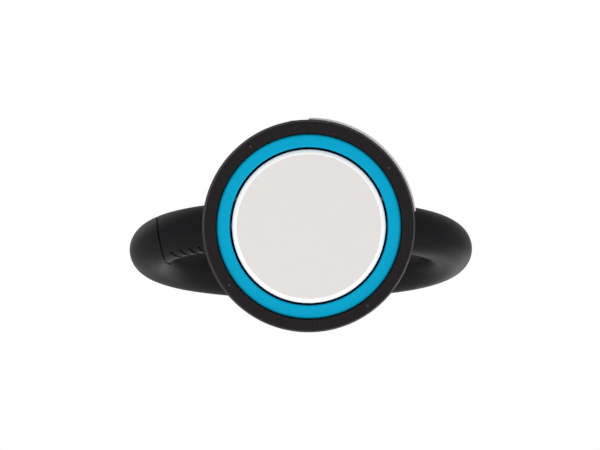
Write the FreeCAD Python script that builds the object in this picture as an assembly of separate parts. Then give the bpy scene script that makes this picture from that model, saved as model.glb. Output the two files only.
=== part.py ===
"""Round self-inking stamp with a loop handle, as an assembly of separate pieces.

Millimetres, +Z up.  The origin is the centre of the foot ring's lower face, X runs along
the loop handle and -Y faces the user.  The handle is drawn in its low, locked position.
"""
import FreeCAD, Part
import math
import os

V = FreeCAD.Vector

# ---- clearances ---------------------------------------------------------------------
SLIDE_GAP = 0.3          # between pieces that slide past each other
RUN_GAP = 0.05           # radial play of a running pin in its bore
EDGE_BREAK = 0.4         # small chamfer on moulded edges

# ---- text plate ---------------------------------------------------------------------
PLATE_R = 22.5           # imprint radius
PLATE_T = 2.3            # rubber text plate
PLATE_BEVEL = 1.0        # rounded rim of the printing face
PLATE_RECESS = 0.3       # printing face above the foot plane while locked
CUSHION_T = 1.0          # foam layer
CARRIER_T = 1.4          # carrier disc
CARRIER_RIB_T = 1.2
CARRIER_RIB_H = 1.6
CARRIER_RIB_END = 3.0
CARRIER_RIBS_Y = (-14.0, -8.0, 14.0)
CARRIER_INSET = 0.2      # cushion and carrier are this much smaller than the plate
HUB_HALF_Y = 3.0         # hub bar of the carrier
PIN_R = 1.5              # trunnion pin
PIN_IN_HUB = 8.0
PIN_IN_BLOCK = 4.0
CAM_PIN_R = 1.2
CAM_PIN_OFFSET = 8.0     # cam pin from the trunnion axis
LUG_T = 2.4              # lug that carries a cam pin

# ---- foot ---------------------------------------------------------------------------
MOUTH_GAP = 0.83         # text plate to mouth ring
MOUTH_W = 3.75           # width of the coloured mouth ring
MOUTH_RECESS = 0.6
MOUTH_CHAMFER = 0.9
MOUTH_BORE_BREAK = 0.2
MOUTH_SEAT_GAP = 0.17    # seam round the mouth ring
FOOT_FACE_W = 3.25       # flat face of the foot ring
FOOT_FLARE = 0.77        # outward flare of its flank
FOOT_FLARE_H = 3.3
FOOT_H = 10.0
SHELF_Z = 2.4            # underside of the inner shelf
SHELF_T = 1.2
PIN_HEAD_R = 0.55        # assembly pins seen in the foot face
PIN_HEAD_L = 1.9
PIN_HEAD_RECESS = 0.1
PIN_HEAD_TURN = 36.3     # degrees, then every quarter turn

# ---- stroke and legs ----------------------------------------------------------------
STROKE = 36.0
WALL_GAP = 0.4           # text plate to cam wall
CAM_WALL_T = 1.1
CAM_WALL_GAP = 0.2       # cam wall to bearing block
LEG_R = 2.4
LEG_WALL = 0.7
LEG_SEAT = 3.4           # depth of a leg tube in its bearing block
BLOCK_HALF_Y = 3.2
CAM_GROOVE_D = 0.5
CAM_RUN = 14.0           # straight rise before the groove crosses over

# ---- housing ------------------------------------------------------------------------
SHELL_WALL = 1.6
SHELL_SIDE_GAP = 0.4     # leg tube to shell
TRAY_SIDE_GAP = 0.5      # pad tray to leg tube
PAD_LIFT = 0.25          # ink pad above the tray's lower edge
PAD_T = 5.2
TRAY_ROOF = 1.3
PAD_FIT = 0.1            # pad to tray wall
DRAWER_TRAVEL = 52.0
TAB_LIP = 1.2            # finger lip proud of the housing
TAB_LIP_HALF_X = 9.0
TAB_LIP_T = 2.0
ROOF_T = 4.5
CARD_T = 0.3
WINDOW_T = 0.7
VENTS = 5
VENT_PITCH = 3.2
VENT_H = 1.2
VENT_DEPTH = 0.5
VENT_UP = 4.0
CARD_HALF_ANGLE = 34.0
CARD_BOTTOM = 18.0
CARD_H = 24.0

# ---- crown and locks ----------------------------------------------------------------
CROWN_GAP = 0.5          # roof to crown while locked
CROWN_H = 11.5
CROWN_TOP_T = 2.5
CROWN_WALL = 1.6
CROWN_ROUND = 3.0
BAND_H = 2.0
BAND_UP = 1.6            # band above the crown's lower edge
BAND_DEPTH = 0.8
BAND_PROUD = 0.15
YOKE_T = 1.4
YOKE_HALF_Y = 4.5
SPRING_R = 6.2           # coil mean radius
SPRING_WIRE_R = 0.45
SPRING_TURNS = 6
SPRING_SEAT = 2.0        # depth of the spring seat in the roof
POST_R = 4.6
POST_H = 6.5
LOCK_TRAVEL = 1.5
LOCK_HALF_X = 5.0
LOCK_T = 2.2
LOCK_L = 11.0
LOCK_PROUD = 0.9
NOSE_HALF_X = 1.4
NOSE_T = 1.2
HOOK_T = 1.0
HOOK_HALF_X = 2.5
LOCK_SPRING_R = 0.75
LOCK_SPRING_WIRE_R = 0.2
LOCK_SPRING_L = 3.6
LOCK_SPRING_TURNS = 3

# ---- loop handle --------------------------------------------------------------------
LOOP_HALF_W = 50.6       # centre line, an oval of four tangent arcs
LOOP_HALF_H = 39.0
LOOP_SIDE_R = 34.0       # bend at the two ends of the oval
LOOP_TUBE_R = 7.75
LOOP_CORE_R = 4.5
LOOP_RAKE = 16.2         # degrees toward the user
LOOP_BACK = 1.3          # its foot stands this far behind the crown's centre
NECK_LOW = (24.0, 12.5)  # half length and half width at the crown
NECK_TOP = (20.0, 9.6)
NECK_H = 6.0
NECK_FLOOR = 1.0         # neck material under the tube
GRIP_SEAM_X = 46.4       # where the sleeve meets the smooth loop
GRIP_SEAM_TURN = -9.0    # degrees that the seam's plane is turned about Z
GRIP_SEAM_TILT = -5.0    # and about Y
GRIP_IN_X = 26.0         # the sleeve's hidden end, beside the neck
GRIP_GROOVES = 5         # across the sleeve's user side, with ribs between them
GROOVE_LEAD = 5.5        # first groove from the seam
GROOVE_PITCH = 2.9
GROOVE_W = 1.1
GROOVE_DEPTH = 0.45
GROOVE_FROM = 6.6        # distance from the loop's middle plane at which they start
SEAM_W = 0.5
SEAM_DEPTH = 0.5
SCREW_R = 1.5
SCREW_HEAD_R = 2.6
SCREW_HEAD_H = 1.6
SCREW_X = 12.0
SCREW_BITE = 3.0         # into the loop's core

# ---- sight lip ----------------------------------------------------------------------
LIP_OFFSET = 0.75        # its round outside stands this far off the foot's centre
LIP_AIM = 131.0          # degrees, anticlockwise from +X seen from above
LIP_HALF_ANGLE = 41.0
LIP_Z = 4.4
LIP_H = 4.6

# ---- places that follow from the sizes above ----------------------------------------
face_z = PLATE_RECESS
cushion_z = face_z + PLATE_T
carrier_z = cushion_z + CUSHION_T
hub_z = carrier_z + CARRIER_T
pivot_z = hub_z + PIN_R + 0.1
face_drop = pivot_z - face_z
carrier_r = PLATE_R - CARRIER_INSET

mouth_in = PLATE_R + MOUTH_GAP
mouth_out = mouth_in + MOUTH_W
foot_in = mouth_out + MOUTH_SEAT_GAP
foot_face_out = foot_in + FOOT_FACE_W
foot_out = foot_face_out + FOOT_FLARE
shelf_top = SHELF_Z + SHELF_T
shelf_in = mouth_in + 0.27

wall_x = PLATE_R + WALL_GAP
wall_out = wall_x + CAM_WALL_T
block_x = wall_out + CAM_WALL_GAP
leg_x = block_x + LEG_R
shell_in = leg_x + LEG_R + SHELL_SIDE_GAP
shell_out = shell_in + SHELL_WALL
block_bottom = shelf_top + SLIDE_GAP
leg_bottom = pivot_z + PIN_R + 0.5
block_top = leg_bottom + LEG_SEAT

tray_z = pivot_z + STROKE + face_drop
wall_top = tray_z - SLIDE_GAP
tray_x = block_x - TRAY_SIDE_GAP
pad_r = tray_x - 1.0
pad_z = tray_z + PAD_LIFT
tray_top = pad_z + PAD_T + TRAY_ROOF
tray_r = shell_in - SLIDE_GAP
roof_z = tray_top + SLIDE_GAP
roof_top = roof_z + ROOF_T
crown_z = roof_top + CROWN_GAP
crown_top = crown_z + CROWN_H
ceiling_z = crown_top - CROWN_TOP_T
yoke_z = ceiling_z - YOKE_T
seat_z = roof_top - SPRING_SEAT
lock_z = roof_z + (ROOF_T - LOCK_T) / 2
lock_back = shell_out - LOCK_L
hook_out = lock_back - LOCK_TRAVEL - SLIDE_GAP
hook_in = hook_out - HOOK_T
loop_low = LOOP_TUBE_R + NECK_FLOOR
loop_mid = loop_low + LOOP_HALF_H
loop_side_x = LOOP_HALF_W - LOOP_SIDE_R
loop_flat_r = ((loop_side_x ** 2 + LOOP_HALF_H ** 2 - LOOP_SIDE_R ** 2)
               / (2 * (LOOP_HALF_H - LOOP_SIDE_R)))
loop_join = math.degrees(math.atan2(loop_flat_r - LOOP_HALF_H, loop_side_x))
rake = math.radians(LOOP_RAKE)


def cyl(r, z0, z1, x=0.0, y=0.0):
    """Upright cylinder."""
    return Part.makeCylinder(r, z1 - z0, V(x, y, z0))


def tube(r_out, r_in, z0, z1):
    """Upright ring."""
    return cyl(r_out, z0, z1).cut(cyl(r_in, z0 - 1, z1 + 1))


def box(x0, x1, y0, y1, z0, z1):
    """Box between two corners."""
    return Part.makeBox(x1 - x0, y1 - y0, z1 - z0, V(x0, y0, z0))


def revolve(profile):
    """Solid of revolution about Z from (radius, height) points."""
    points = [V(r, 0, z) for r, z in profile]
    face = Part.Face(Part.makePolygon(points + points[:1]))
    return face.revolve(V(0, 0, 0), V(0, 0, 1), 360)


def rod_x(r, x0, x1, y, z):
    """Round pin along X."""
    low = min(x0, x1)
    return Part.makeCylinder(r, abs(x1 - x0), V(low, y, z), V(1, 0, 0))


def edges_at(shape, z, r_min=0.0):
    """Edges that lie in one level plane, outside a radius."""
    found = []
    for edge in shape.Edges:
        b = edge.BoundBox
        reach = max(abs(b.XMin), abs(b.XMax))
        if abs(b.ZMin - z) < 1e-3 and abs(b.ZMax - z) < 1e-3 and reach > r_min:
            found.append(edge)
    return found


def sector(r, z0, z1, from_deg, to_deg):
    """Pie slice about Z."""
    turn = FreeCAD.Rotation(V(0, 0, 1), from_deg)
    place = FreeCAD.Placement(V(0, 0, z0), turn)
    piece = Part.makeCylinder(r, z1 - z0, V(0, 0, 0), V(0, 0, 1), to_deg - from_deg)
    piece.Placement = place
    return piece


def coil(radius, wire_r, length, turns):
    """Open helical spring along +Z whose ends stay inside its length."""
    rise = length - 2 * wire_r
    helix = Part.makeHelix(rise / turns, rise, radius)
    corners = []
    for k in range(9):
        t = math.radians(45 * k)
        corners.append(V(radius + wire_r * math.cos(t), 0, wire_r * math.sin(t)))
    section = Part.makePolygon(corners)
    spring = Part.Wire(helix.Edges).makePipeShell([section], True, True)
    spring.translate(V(0, 0, wire_r))
    return spring


def mirror_x(shape):
    return shape.mirror(V(0, 0, 0), V(1, 0, 0))


def mirror_y(shape):
    return shape.mirror(V(0, 0, 0), V(0, 1, 0))


def raked(shape):
    """Stand a shape drawn in the upright XZ plane on the crown, leaning to the user."""
    leaned = shape.copy()
    leaned.rotate(V(0, 0, 0), V(1, 0, 0), LOOP_RAKE)
    leaned.translate(V(0, LOOP_BACK, crown_top))
    return leaned


def bend(side, radius, from_deg, to_deg):
    """Round bar along one arc of the loop: right, top, left or low."""
    flat = loop_flat_r - LOOP_HALF_H
    centres = {
        "right": (V(loop_side_x, 0, loop_mid), LOOP_SIDE_R),
        "top": (V(0, 0, loop_mid - flat), loop_flat_r),
        "left": (V(-loop_side_x, 0, loop_mid), LOOP_SIDE_R),
        "low": (V(0, 0, loop_mid + flat), loop_flat_r),
    }
    centre, bend_r = centres[side]
    t = math.radians(from_deg)
    start = centre + V(bend_r * math.cos(t), 0, bend_r * math.sin(t))
    along = V(-math.sin(t), 0, math.cos(t))
    section = Part.Face(Part.Wire(Part.makeCircle(radius, start, along)))
    return section.revolve(centre, V(0, -1, 0), to_deg - from_deg)


def whole_loop(radius):
    """Closed loop of round section, upright on the crown's plane."""
    piece = bend("right", radius, -loop_join, loop_join)
    piece = piece.fuse(bend("top", radius, loop_join, 180 - loop_join))
    piece = piece.fuse(bend("left", radius, 180 - loop_join, 180 + loop_join))
    return piece.fuse(bend("low", radius, 180 + loop_join, 360 - loop_join))


def low_path(x):
    """Height of the loop's lower centre line at x, and its lean in degrees."""
    cx, cz, r = loop_side_x, loop_mid, LOOP_SIDE_R
    if x < loop_side_x + LOOP_SIDE_R * math.cos(math.radians(loop_join)):
        cx, cz, r = 0.0, loop_mid + loop_flat_r - LOOP_HALF_H, loop_flat_r
    fall = math.sqrt(r ** 2 - (x - cx) ** 2)
    return cz - fall, math.degrees(math.atan2(x - cx, fall))


def grip_zone(half_y, grow=0.0):
    """Block that picks the sleeve's stretch out of the upright loop."""
    seam_z = low_path(GRIP_SEAM_X)[0]
    zone = box(0, GRIP_SEAM_X + grow, -half_y, half_y, -half_y, loop_mid)
    zone.rotate(V(GRIP_SEAM_X, 0, seam_z), V(0, 1, 0), GRIP_SEAM_TILT)
    zone.rotate(V(GRIP_SEAM_X, 0, seam_z), V(0, 0, 1), GRIP_SEAM_TURN)
    return zone.cut(box(-GRIP_IN_X, GRIP_IN_X, -2 * half_y, 2 * half_y,
                        -2 * half_y, 2 * loop_mid))


def grip_grooves():
    """Short slabs square to the loop, on its user side, that cut the sleeve's grooves."""
    slabs = []
    for k in range(GRIP_GROOVES):
        x = GRIP_SEAM_X - GROOVE_LEAD - GROOVE_PITCH * k
        z, lean = low_path(x)
        slab = box(-GROOVE_W / 2, GROOVE_W / 2, -2 * LOOP_TUBE_R, -GROOVE_FROM,
                   -2 * LOOP_TUBE_R, 2 * LOOP_TUBE_R)
        slab.rotate(V(0, 0, 0), V(0, 1, 0), -lean)
        slab.translate(V(x, 0, z))
        slabs.append(slab)
    floor = whole_loop(LOOP_TUBE_R - GROOVE_DEPTH)
    return [slab.cut(floor) for slab in slabs]


def groove_bar(y0, z0, y1, z1, half):
    """Round-ended slot in the inner face of the +X cam wall."""
    length = math.hypot(y1 - y0, z1 - z0)
    bar = Part.makeBox(CAM_GROOVE_D, length, 2 * half, V(0, 0, -half))
    bar.rotate(V(0, 0, 0), V(1, 0, 0), math.degrees(math.atan2(z1 - z0, y1 - y0)))
    bar.translate(V(wall_x, y0, z0))
    ends = [rod_x(half, wall_x, wall_x + CAM_GROOVE_D, y, z) for y, z in ((y0, z0), (y1, z1))]
    return bar.fuse(ends)


def make_foot():
    """Foot ring, its four assembly pins and the coloured mouth ring."""
    ring = revolve([
        (foot_in, 0), (foot_face_out - EDGE_BREAK, 0), (foot_face_out, EDGE_BREAK),
        (foot_out, FOOT_FLARE_H), (foot_out, FOOT_H - EDGE_BREAK),
        (foot_out - EDGE_BREAK, FOOT_H), (shell_in, FOOT_H), (shell_in, shelf_top),
        (shelf_in, shelf_top), (shelf_in, SHELF_Z), (foot_in, SHELF_Z),
    ])
    pin_at = (foot_in + foot_face_out) / 2
    pins = []
    for k in range(4):
        turn = math.radians(180 - PIN_HEAD_TURN + 90 * k)
        x, y = pin_at * math.cos(turn), pin_at * math.sin(turn)
        ring = ring.cut(cyl(PIN_HEAD_R, -1, PIN_HEAD_RECESS + PIN_HEAD_L, x, y))
        pins.append(cyl(PIN_HEAD_R, PIN_HEAD_RECESS, PIN_HEAD_RECESS + PIN_HEAD_L, x, y))
    mouth = revolve([
        (mouth_in + MOUTH_BORE_BREAK, MOUTH_RECESS), (mouth_out - MOUTH_CHAMFER, MOUTH_RECESS),
        (mouth_out, MOUTH_RECESS + MOUTH_CHAMFER * 0.7), (mouth_out, SHELF_Z),
        (mouth_in, SHELF_Z), (mouth_in, MOUTH_RECESS + MOUTH_BORE_BREAK),
    ])
    aim = math.radians(LIP_AIM)
    lip = cyl(foot_out, LIP_Z, LIP_Z + LIP_H, LIP_OFFSET * math.cos(aim),
              LIP_OFFSET * math.sin(aim))
    lip = lip.cut(cyl(foot_out, LIP_Z - 1, LIP_Z + LIP_H + 1))
    lip = lip.common(sector(foot_out + 2 * LIP_OFFSET, LIP_Z, LIP_Z + LIP_H,
                            LIP_AIM - LIP_HALF_ANGLE, LIP_AIM + LIP_HALF_ANGLE))
    return ring, pins, mouth, lip


def make_cam_wall():
    """Upright guide wall on the +X side, slotted for the trunnion, grooved for the cam pin."""
    wall = box(wall_x, wall_out, -shell_in, shell_in, shelf_top, wall_top)
    wall = wall.common(cyl(shell_in, 0, wall_top))
    half = PIN_R + SLIDE_GAP
    slot = box(wall_x - 1, wall_out + 1, -half, half, pivot_z, pivot_z + STROKE)
    for z in (pivot_z, pivot_z + STROKE):
        slot = slot.fuse(rod_x(half, wall_x - 1, wall_out + 1, 0, z))
    groove = CAM_PIN_R + SLIDE_GAP
    cross_low = pivot_z + CAM_RUN
    cross_high = pivot_z + STROKE - CAM_RUN
    runs = (
        (CAM_PIN_OFFSET, pivot_z, CAM_PIN_OFFSET, cross_low),
        (CAM_PIN_OFFSET, cross_low, -CAM_PIN_OFFSET, cross_high),
        (-CAM_PIN_OFFSET, cross_high, -CAM_PIN_OFFSET, pivot_z + STROKE),
    )
    for y0, z0, y1, z1 in runs:
        slot = slot.fuse(groove_bar(y0, z0, y1, z1, groove))
    return wall.cut(slot)


def make_plate():
    """Text plate, cushion, carrier and its four pins, all turning about the trunnions."""
    plate = cyl(PLATE_R, face_z, cushion_z)
    plate = plate.makeFillet(PLATE_BEVEL, edges_at(plate, face_z, PLATE_R / 2))
    cushion = cyl(carrier_r, cushion_z, carrier_z)
    disc = cyl(carrier_r, carrier_z, hub_z)
    hub = box(-carrier_r, carrier_r, -HUB_HALF_Y, HUB_HALF_Y, hub_z, pivot_z)
    hub = hub.fuse(rod_x(HUB_HALF_Y, -carrier_r, carrier_r, 0, pivot_z))
    lug_x = math.sqrt(carrier_r ** 2 - (CAM_PIN_OFFSET + 2) ** 2)
    lug_r = CAM_PIN_R + 1
    for side in (-1, 1):
        x0, x1 = sorted((side * (lug_x - LUG_T), side * lug_x))
        low, high = CAM_PIN_OFFSET - lug_r, CAM_PIN_OFFSET + lug_r
        hub = hub.fuse(box(x0, x1, low, high, hub_z, pivot_z))
        hub = hub.fuse(rod_x(lug_r, x0, x1, CAM_PIN_OFFSET, pivot_z))
    for y in CARRIER_RIBS_Y:
        reach = math.sqrt(carrier_r ** 2 - y ** 2) - CARRIER_RIB_END
        half = CARRIER_RIB_T / 2
        hub = hub.fuse(box(-reach, reach, y - half, y + half, hub_z, hub_z + CARRIER_RIB_H))
    carrier = disc.fuse(hub).common(cyl(carrier_r, 0, pivot_z + HUB_HALF_Y))
    carrier = carrier.removeSplitter()
    pins, cams = [], []
    for side in (-1, 1):
        trunnion = rod_x(PIN_R, side * (carrier_r - PIN_IN_HUB),
                         side * (block_x + PIN_IN_BLOCK), 0, pivot_z)
        cam = rod_x(CAM_PIN_R, side * (lug_x - LUG_T), side * (wall_x - 0.2),
                    CAM_PIN_OFFSET, pivot_z)
        carrier = carrier.cut(trunnion).cut(cam)
        pins.append(trunnion)
        cams.append(cam)
    return plate, cushion, carrier, pins, cams


def make_leg():
    """Leg tube and bearing block on the +X side."""
    block = box(block_x, leg_x + LEG_R - 0.2, -BLOCK_HALF_Y, BLOCK_HALF_Y,
                block_bottom, block_top)
    block = block.makeChamfer(EDGE_BREAK, [e for e in block.Edges if e.BoundBox.ZLength > 5])
    block = block.cut(cyl(LEG_R, leg_bottom, block_top + 1, leg_x))
    block = block.cut(rod_x(PIN_R + RUN_GAP, block_x - 1,
                            block_x + PIN_IN_BLOCK + RUN_GAP, 0, pivot_z))
    leg = cyl(LEG_R, leg_bottom, yoke_z, leg_x)
    leg = leg.cut(cyl(LEG_R - LEG_WALL, leg_bottom - 1, yoke_z + 1, leg_x))
    return leg, block


def make_housing():
    """Outer shell with its drawer mouth, index card, window and roof."""
    shell = tube(shell_out, shell_in, FOOT_H, roof_z)
    mouth_x = tray_x + SLIDE_GAP
    shell = shell.cut(box(-mouth_x, mouth_x, -shell_out - 1, 0,
                          tray_z - SLIDE_GAP, roof_z + 1))
    low, high = 270 - CARD_HALF_ANGLE, 270 + CARD_HALF_ANGLE
    card_top = CARD_BOTTOM + CARD_H
    pocket = sector(shell_out + 5, CARD_BOTTOM, card_top, low, high)
    window_r = shell_out + 0.2
    card_in = window_r - WINDOW_T - CARD_T
    card_out = window_r - WINDOW_T
    shell = shell.cut(pocket.cut(cyl(card_in, 0, roof_z)))
    for k in range(VENTS):
        z = FOOT_H + VENT_UP + VENT_PITCH * k
        rear = tube(shell_out + 1, shell_out - VENT_DEPTH, z, z + VENT_H)
        shell = shell.cut(rear.common(sector(shell_out + 5, z, z + VENT_H, 50, 130)))
    card = tube(card_out, card_in, CARD_BOTTOM, card_top).common(pocket)
    window = tube(window_r, card_out, CARD_BOTTOM, card_top).common(pocket)

    roof = cyl(shell_out, roof_z, roof_top)
    roof = roof.makeChamfer(EDGE_BREAK, edges_at(roof, roof_top))
    for side in (-1, 1):
        roof = roof.cut(cyl(LEG_R + SLIDE_GAP, roof_z - 1, roof_top + 1, side * leg_x))
    roof = roof.cut(tube(SPRING_R + 1.6, POST_R, seat_z, roof_top + 1))
    roof = roof.fuse(cyl(POST_R, roof_top - 0.5, seat_z + POST_H))
    slot_x = LOCK_HALF_X + SLIDE_GAP
    deep = lock_back - LOCK_SPRING_L
    slot_z0, slot_z1 = lock_z - SLIDE_GAP, lock_z + LOCK_T + SLIDE_GAP
    hook_x = HOOK_HALF_X + SLIDE_GAP
    hook_slot = box(-hook_x, hook_x, -hook_out - SLIDE_GAP, -hook_in + SLIDE_GAP,
                    slot_z0, roof_top + 1)
    slots = box(-slot_x, slot_x, -shell_out - 1, -deep, slot_z0, slot_z1).fuse(hook_slot)
    roof = roof.cut(slots).cut(mirror_y(slots))
    return shell, card, window, roof


def make_drawer():
    """Pull-out pad tray, its pad and the coloured front tab, at rest in the housing."""
    tray = box(-tray_x, tray_x, -shell_out, shell_out, tray_z, tray_top)
    tray = tray.common(cyl(tray_r, tray_z, tray_top))
    tray = tray.cut(cyl(pad_r + PAD_FIT, tray_z - 1, pad_z + PAD_T))
    pad = cyl(pad_r, pad_z, pad_z + PAD_T)
    pad = pad.makeFillet(0.6, edges_at(pad, pad_z))
    front = box(-tray_x, tray_x, -shell_out - 5, 0, tray_z, tray_top)
    tab = tube(shell_out, tray_r, tray_z, tray_top).common(front)
    lip = tube(shell_out + TAB_LIP, shell_out, tray_z, tray_z + TAB_LIP_T)
    lip = lip.common(box(-TAB_LIP_HALF_X, TAB_LIP_HALF_X, -shell_out - 5, 0, tray_z, tray_top))
    tab = tab.fuse(lip).removeSplitter()
    return tray, pad, tab


def make_crown():
    """Crown cap, accent band and the steel yoke that joins the two legs."""
    crown = cyl(shell_out, crown_z, crown_top)
    crown = crown.makeFillet(CROWN_ROUND, edges_at(crown, crown_top))
    crown = crown.cut(cyl(shell_out - CROWN_WALL, crown_z - 1, ceiling_z))
    band_z = crown_z + BAND_UP
    band = tube(shell_out + BAND_PROUD, shell_out - BAND_DEPTH, band_z, band_z + BAND_H)
    crown = crown.cut(band)
    yoke = box(-leg_x - LEG_R, leg_x + LEG_R, -YOKE_HALF_Y, YOKE_HALF_Y, yoke_z, ceiling_z)
    yoke = yoke.fuse(cyl(SPRING_R + 2.2, yoke_z, ceiling_z))
    yoke = yoke.common(cyl(shell_out - CROWN_WALL, yoke_z, ceiling_z)).removeSplitter()
    return crown, band, yoke


def make_locks():
    """Lock button and its two springs, on the -Y side."""
    bar = box(-LOCK_HALF_X, LOCK_HALF_X, -shell_out - LOCK_PROUD, -lock_back,
              lock_z, lock_z + LOCK_T)
    bar = bar.common(cyl(shell_out + LOCK_PROUD, lock_z, lock_z + LOCK_T))
    bar = bar.makeChamfer(0.5, edges_at(bar, lock_z + LOCK_T))
    nose_z = lock_z + (LOCK_T - NOSE_T) / 2
    nose = box(-NOSE_HALF_X, NOSE_HALF_X, -lock_back - 1, -hook_out - SLIDE_GAP,
               nose_z, nose_z + NOSE_T)
    bar = bar.fuse(nose).removeSplitter()
    spring = coil(LOCK_SPRING_R, LOCK_SPRING_WIRE_R, LOCK_SPRING_L, LOCK_SPRING_TURNS)
    spring.rotate(V(0, 0, 0), V(1, 0, 0), -90)
    spring.translate(V(0, -lock_back, lock_z + LOCK_T / 2))
    springs = []
    reach = LOCK_HALF_X - LOCK_SPRING_R - LOCK_SPRING_WIRE_R
    for x in (-reach, reach):
        one = spring.copy()
        one.translate(V(x, 0, 0))
        springs.append(one)
    return bar, springs


def make_hook():
    """Steel latch strip under the crown, with the window that the front lock nose enters."""
    strip = box(-HOOK_HALF_X, HOOK_HALF_X, -hook_out, -hook_in, lock_z, ceiling_z)
    half_x = NOSE_HALF_X + SLIDE_GAP
    half_z = NOSE_T / 2 + 0.2
    middle = lock_z + LOCK_T / 2
    window = box(-half_x, half_x, -hook_out - 1, -hook_in + 1,
                 middle - half_z, middle + half_z)
    return strip.cut(window)


def make_handle():
    """Loop with its core and ribbed grip, neck and the two screws that hold it."""
    core = whole_loop(LOOP_CORE_R)
    full = whole_loop(LOOP_TUBE_R)
    top = crown_top + NECK_H
    low = Part.Ellipse(V(0, 0, 0), NECK_LOW[0], NECK_LOW[1]).toShape()
    high = Part.Ellipse(V(0, 0, 0), NECK_TOP[0], NECK_TOP[1]).toShape()
    low.translate(V(0, LOOP_BACK, crown_top))
    high.translate(V(0, LOOP_BACK - math.sin(rake) * NECK_H, top))
    neck = Part.makeLoft([Part.Wire(low), Part.Wire(high)], True).cut(raked(full))
    sleeve = full.cut(core)
    zone = grip_zone(2 * LOOP_TUBE_R)
    grip = sleeve.common(zone)
    seam_zone = grip_zone(2 * LOOP_TUBE_R, SEAM_W).cut(zone)
    seam = seam_zone.cut(whole_loop(LOOP_TUBE_R - SEAM_DEPTH))
    loop = sleeve.cut(zone).cut(seam)
    for slab in grip_grooves():
        grip = grip.cut(slab)
    grip = raked(grip)
    core = raked(core)
    loop = raked(loop)
    screws = []
    reach = loop_low - LOOP_CORE_R + SCREW_BITE
    for side in (-1, 1):
        head = cyl(SCREW_HEAD_R, yoke_z - SCREW_HEAD_H, yoke_z, side * SCREW_X)
        head = head.cut(cyl(1.1, yoke_z - SCREW_HEAD_H - 1, yoke_z - 0.7, side * SCREW_X))
        shank = cyl(SCREW_R, yoke_z, crown_top + reach, side * SCREW_X)
        screws.append(head.fuse(shank).removeSplitter())
    return loop, core, grip, neck, screws


def main():
    parts = {}
    ring, pins, mouth, lip = make_foot()
    parts["foot_ring"] = ring
    parts["mouth_ring"] = mouth
    parts["sight_lip"] = lip
    for k, pin in enumerate(pins):
        parts["ring_pin_%d" % (k + 1)] = pin

    wall = make_cam_wall()
    parts["cam_wall_left"] = mirror_x(wall)
    parts["cam_wall_right"] = wall

    plate, cushion, carrier, trunnions, cams = make_plate()
    parts["text_plate"] = plate
    parts["plate_cushion"] = cushion
    parts["plate_carrier"] = carrier
    for name, trunnion, cam in zip(("left", "right"), trunnions, cams):
        parts["trunnion_pin_" + name] = trunnion
        parts["cam_pin_" + name] = cam

    leg, block = make_leg()
    parts["leg_tube_left"] = mirror_x(leg)
    parts["leg_tube_right"] = leg
    parts["bearing_block_left"] = mirror_x(block)
    parts["bearing_block_right"] = block

    shell, card, window, roof = make_housing()
    parts["housing_shell"] = shell
    parts["index_card"] = card
    parts["index_window"] = window
    parts["roof_cover"] = roof

    tray, pad, tab = make_drawer()
    parts["pad_tray"] = tray
    parts["ink_pad"] = pad
    parts["pad_tab"] = tab

    bar, lock_springs = make_locks()
    hook = make_hook()
    parts["lock_button_front"] = bar
    parts["lock_button_rear"] = mirror_y(bar)
    for name, spring in zip(("left", "right"), lock_springs):
        parts["lock_spring_front_" + name] = spring
        parts["lock_spring_rear_" + name] = mirror_y(spring)
    parts["latch_hook_front"] = hook
    parts["latch_hook_rear"] = mirror_y(hook)

    crown, band, yoke = make_crown()
    loop, core, grip, neck, screws = make_handle()
    for name, screw in zip(("left", "right"), screws):
        parts["handle_screw_" + name] = screw
        crown = crown.cut(screw)
        yoke = yoke.cut(screw)
        neck = neck.cut(screw)
        loop = loop.cut(screw)
        core = core.cut(screw)
    parts["crown"] = crown
    parts["crown_band"] = band
    parts["yoke_bridge"] = yoke
    parts["neck"] = neck
    parts["handle_loop"] = loop
    parts["handle_core"] = core
    parts["ribbed_grip"] = grip

    spring = coil(SPRING_R, SPRING_WIRE_R, yoke_z - seat_z, SPRING_TURNS)
    spring.translate(V(0, 0, seat_z))
    parts["return_spring"] = spring

    os.makedirs("parts", exist_ok=True)
    for name, shape in parts.items():
        shape.exportStep("parts/%s.step" % name)


main()
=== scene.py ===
import logging
import math
from dataclasses import dataclass, field
from enum import Enum
from typing import Callable, Dict, List, Optional, Sequence, Tuple

import bmesh
import bpy
from mathutils import Matrix, Vector


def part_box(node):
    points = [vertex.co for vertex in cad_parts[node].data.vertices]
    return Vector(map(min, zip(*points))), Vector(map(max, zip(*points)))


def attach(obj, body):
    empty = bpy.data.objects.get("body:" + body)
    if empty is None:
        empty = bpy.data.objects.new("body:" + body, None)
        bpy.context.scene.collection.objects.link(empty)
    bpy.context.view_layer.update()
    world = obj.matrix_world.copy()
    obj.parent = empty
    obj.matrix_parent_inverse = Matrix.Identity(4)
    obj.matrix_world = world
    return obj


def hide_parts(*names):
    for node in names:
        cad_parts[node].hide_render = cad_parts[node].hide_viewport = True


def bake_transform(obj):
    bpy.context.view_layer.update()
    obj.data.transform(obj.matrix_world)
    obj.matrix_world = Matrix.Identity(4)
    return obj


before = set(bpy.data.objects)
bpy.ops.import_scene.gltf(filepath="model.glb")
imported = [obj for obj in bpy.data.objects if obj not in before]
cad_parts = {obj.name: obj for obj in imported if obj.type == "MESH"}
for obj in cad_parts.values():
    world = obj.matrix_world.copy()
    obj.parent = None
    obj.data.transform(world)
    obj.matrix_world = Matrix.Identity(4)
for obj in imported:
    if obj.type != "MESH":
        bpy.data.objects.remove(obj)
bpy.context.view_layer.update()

LOG = logging.getLogger("stamp")
MM = 0.001
SAME = 1e-6  # metres within which two points are one
PAST = 1.0  # millimetres that a cutting tool goes past its piece
SMOOTH_DEG = 32.0  # edges sharper than this stay sharp
SOFTEN_DEG = 40.0  # edges sharper than this are rounded after cutting
WIRE_SIDES = 16
TURN_STEPS = 48
FRONT_DEG = 270.0  # toward the user
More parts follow.
